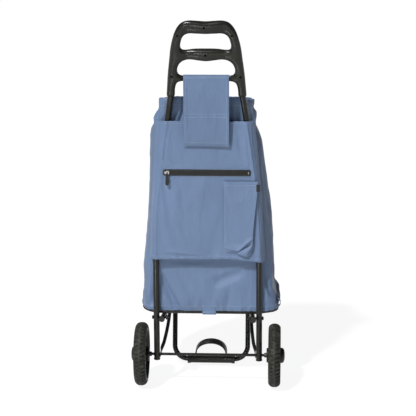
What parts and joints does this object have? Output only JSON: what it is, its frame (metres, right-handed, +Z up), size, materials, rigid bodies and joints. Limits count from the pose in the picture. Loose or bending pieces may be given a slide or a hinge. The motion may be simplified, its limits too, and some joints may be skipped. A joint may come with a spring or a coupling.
{
  "type": "shopping trolley on wheels",
  "caption": "Upright shopping trolley: tapered tube frame, looped plastic handle, tall drawstring fabric bag, two spoked wheels and a front stand.",
  "frame": {"origin": "on the floor, under the middle of the whole trolley", "axes": "+Z up; +Y from the user's handle side towards the bag's front and the stand; +X to the right as seen from the handle side"},
  "size_m": [0.388, 0.356, 0.9349],
  "materials": {
    "frame_paint": "semi-gloss black powder coat on steel tube",
    "black_plastic": "moulded black plastic, satin",
    "handle_plastic": "moulded black plastic, semi-gloss",
    "rim_plastic": "moulded black plastic, semi-gloss",
    "tyre_rubber": "dark rubber with moulded tread",
    "steel": "zinc-plated steel",
    "bag_fabric": "fine blue woven polyester, coated inside",
    "zip_black": "black zip tape and trim"
  },
  "bodies": {
    "root": {"left_upright": "frame_paint", "right_upright": "frame_paint", "left_upright_cap": "black_plastic", "right_upright_cap": "black_plastic", "base_tube": "frame_paint", "left_base_plug": "black_plastic", "right_base_plug": "black_plastic", "left_base_bolt": "steel", "right_base_bolt": "steel", "left_base_nut": "steel", "right_base_nut": "steel", "base_ring": "frame_paint", "left_strut": "frame_paint", "right_strut": "frame_paint", "left_strut_rivet": "steel", "right_strut_rivet": "steel", "stand_foot": "black_plastic", "stand_hoop": "black_plastic", "axle": "frame_paint", "left_bush": "black_plastic", "right_bush": "black_plastic", "left_axle_nut": "steel", "right_axle_nut": "steel", "handle_rear_shell": "handle_plastic", "handle_front_shell": "handle_plastic", "handle_screw_1": "steel", "handle_screw_2": "steel", "handle_screw_3": "steel", "handle_screw_4": "steel", "handle_screw_5": "steel", "handle_screw_6": "steel", "bag_body": "bag_fabric", "bag_collar": "bag_fabric", "bag_base_board": "black_plastic", "left_eyelet": "steel", "right_eyelet": "steel", "base_tab": "bag_fabric", "side_loop": "bag_fabric", "back_sleeve": "bag_fabric", "zip_tape": "zip_black", "umbrella_pocket": "bag_fabric", "label_tag": "zip_black", "hanger_strap": "bag_fabric"},
    "left_wheel": {"left_tyre": "tyre_rubber", "left_rim": "rim_plastic", "left_hub_cap": "rim_plastic"},
    "right_wheel": {"right_tyre": "tyre_rubber", "right_rim": "rim_plastic", "right_hub_cap": "rim_plastic"},
    "zip_slider_body": {"zip_slider": "steel"},
    "zip_puller_body": {"zip_puller": "zip_black"},
    "flap": {"handle_flap": "bag_fabric", "flap_hook_strip": "zip_black"}
  },
  "joints": [
    {"name": "left_wheel_spin", "type": "hinge", "parent": "root", "child": "left_wheel", "pos_m": [-0.168, -0.098, 0.08], "axis": [1, 0, 0], "continuous": true},
    {"name": "right_wheel_spin", "type": "hinge", "parent": "root", "child": "right_wheel", "pos_m": [0.168, -0.098, 0.08], "axis": [1, 0, 0], "continuous": true},
    {"name": "zip_slide", "type": "slide", "parent": "root", "child": "zip_slider_body", "axis": [1, 0, 0], "range_m": [0, 0.195]},
    {"name": "puller_swing", "type": "hinge", "parent": "zip_slider_body", "child": "zip_puller_body", "pos_m": [-0.0975, -0.117, 0.5555], "axis": [-1, 0, 0], "range_deg": [0, 150]},
    {"name": "flap_lift", "type": "hinge", "parent": "root", "child": "flap", "pos_m": [0, -0.12052, 0.78934], "axis": [-1, 0, 0], "range_deg": [0, 110]}
  ]
}
